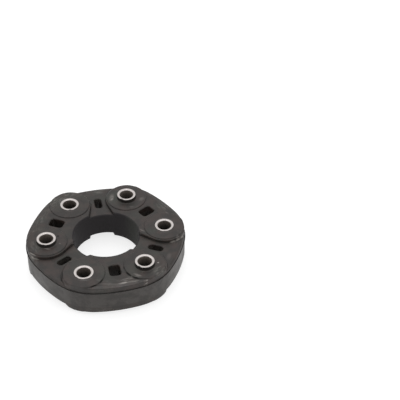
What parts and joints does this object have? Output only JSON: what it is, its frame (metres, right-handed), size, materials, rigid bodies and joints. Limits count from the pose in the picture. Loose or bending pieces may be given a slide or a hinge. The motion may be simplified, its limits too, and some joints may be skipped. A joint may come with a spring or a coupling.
{
  "type": "disc coupling",
  "caption": "Flexible rubber disc coupling for a shaft, with thick and thin links cast round steel bolt sleeves on one circle, every other sleeve proud.",
  "frame": {"origin": "centre of the disc: on its axis, at its mid-plane", "axes": "+Z along the disc's axis, out of the side that the picture shows; +Y through a raised sleeve"},
  "size_m": [0.1368, 0.1414, 0.036],
  "materials": {
    "rubber": "moulded, satin",
    "zinc_plated_steel": "turned, zinc plated",
    "collar_nylon": "moulded",
    "polyester_cord": "wound cord"
  },
  "bodies": {
    "root": {"rubber_body": "rubber", "sleeve_raised_1": "zinc_plated_steel", "sleeve_low_1": "zinc_plated_steel", "sleeve_raised_2": "zinc_plated_steel", "sleeve_low_2": "zinc_plated_steel", "sleeve_raised_3": "zinc_plated_steel", "sleeve_low_3": "zinc_plated_steel", "collar_upper_raised_1": "collar_nylon", "collar_lower_raised_1": "collar_nylon", "collar_upper_low_1": "collar_nylon", "collar_lower_low_1": "collar_nylon", "collar_upper_raised_2": "collar_nylon", "collar_lower_raised_2": "collar_nylon", "collar_upper_low_2": "collar_nylon", "collar_lower_low_2": "collar_nylon", "collar_upper_raised_3": "collar_nylon", "collar_lower_raised_3": "collar_nylon", "collar_upper_low_3": "collar_nylon", "collar_lower_low_3": "collar_nylon", "link_cords_upper_1": "polyester_cord", "link_cords_upper_2": "polyester_cord", "link_cords_upper_3": "polyester_cord", "link_cords_lower_1": "polyester_cord", "link_cords_lower_2": "polyester_cord", "link_cords_lower_3": "polyester_cord", "segment_cords_1": "polyester_cord", "segment_cords_2": "polyester_cord", "segment_cords_3": "polyester_cord"}
  },
  "joints": []
}
